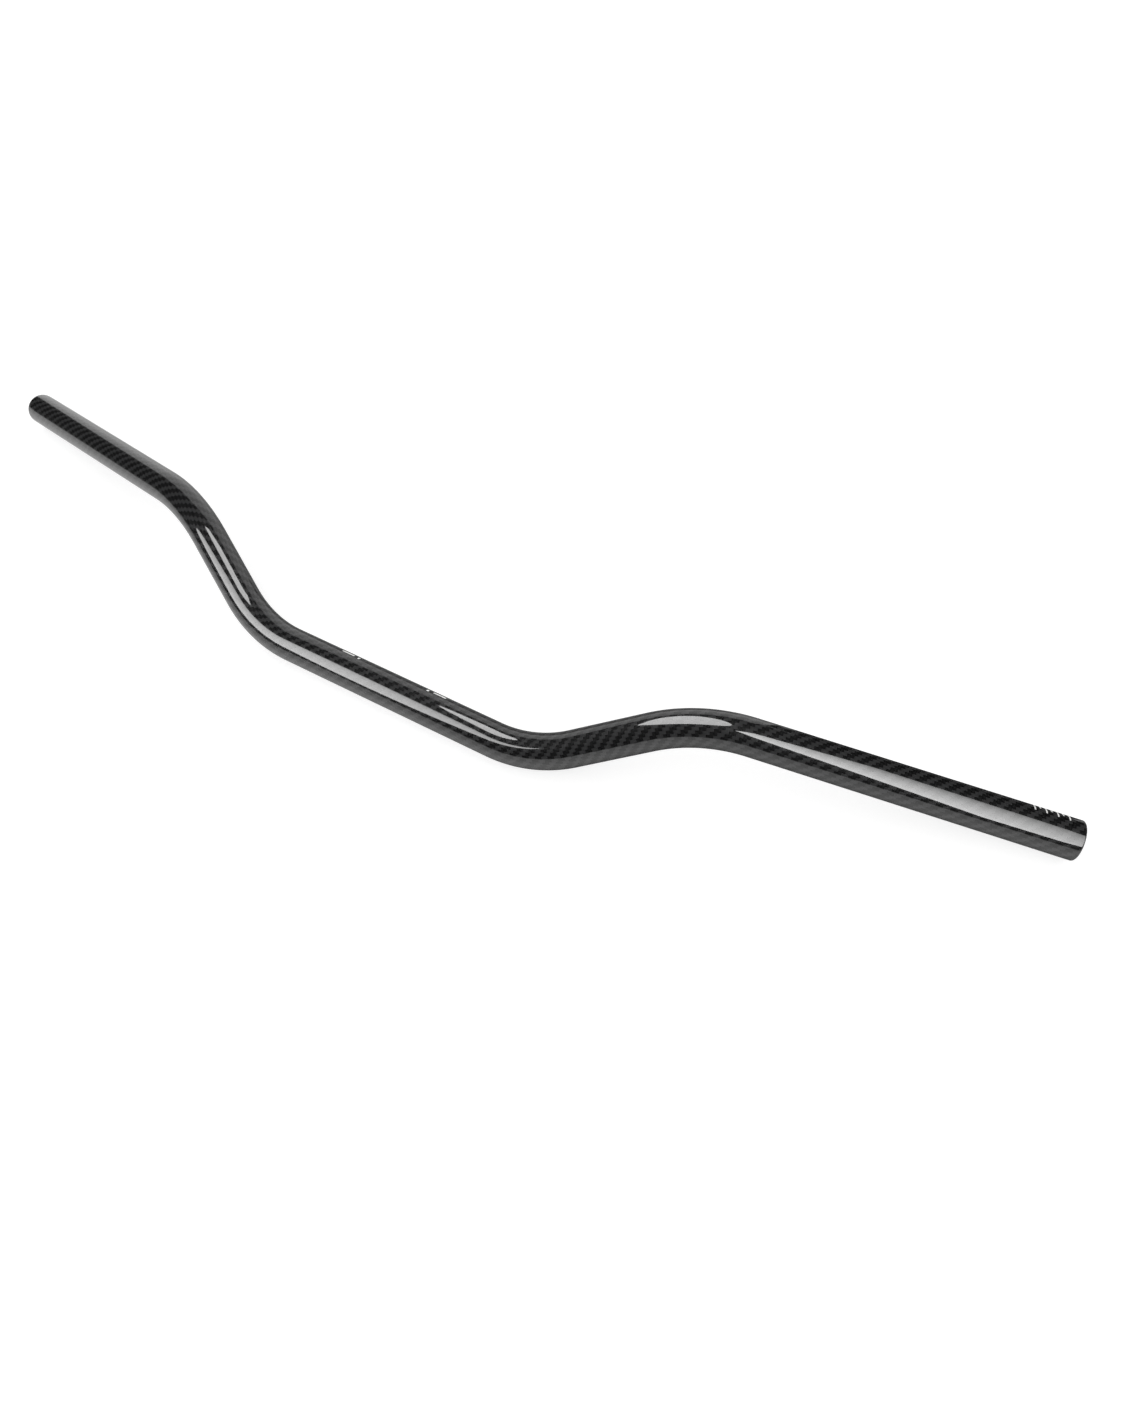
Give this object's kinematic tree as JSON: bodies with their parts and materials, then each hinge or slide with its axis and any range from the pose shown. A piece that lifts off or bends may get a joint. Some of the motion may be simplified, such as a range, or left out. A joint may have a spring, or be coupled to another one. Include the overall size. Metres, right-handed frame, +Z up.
{
  "type": "bicycle handlebar",
  "caption": "Riser handlebar for a bicycle: a round carbon tube with a straight clamping middle, rising legs and grip stretches swept back, open at its ends.",
  "frame": {"origin": "middle of the straight clamping stretch, on the tube's axis", "axes": "+X along the straight middle; +Z up as the bar lies on its rear side, on the middle and the rims of its ends; the ends and the rise point towards +Y"},
  "size_m": [0.7844, 0.1072, 0.049],
  "materials": {
    "carbon": "twill-woven carbon fibre under a high-gloss clear coat"
  },
  "bodies": {
    "root": {"handlebar": "carbon"}
  },
  "joints": []
}
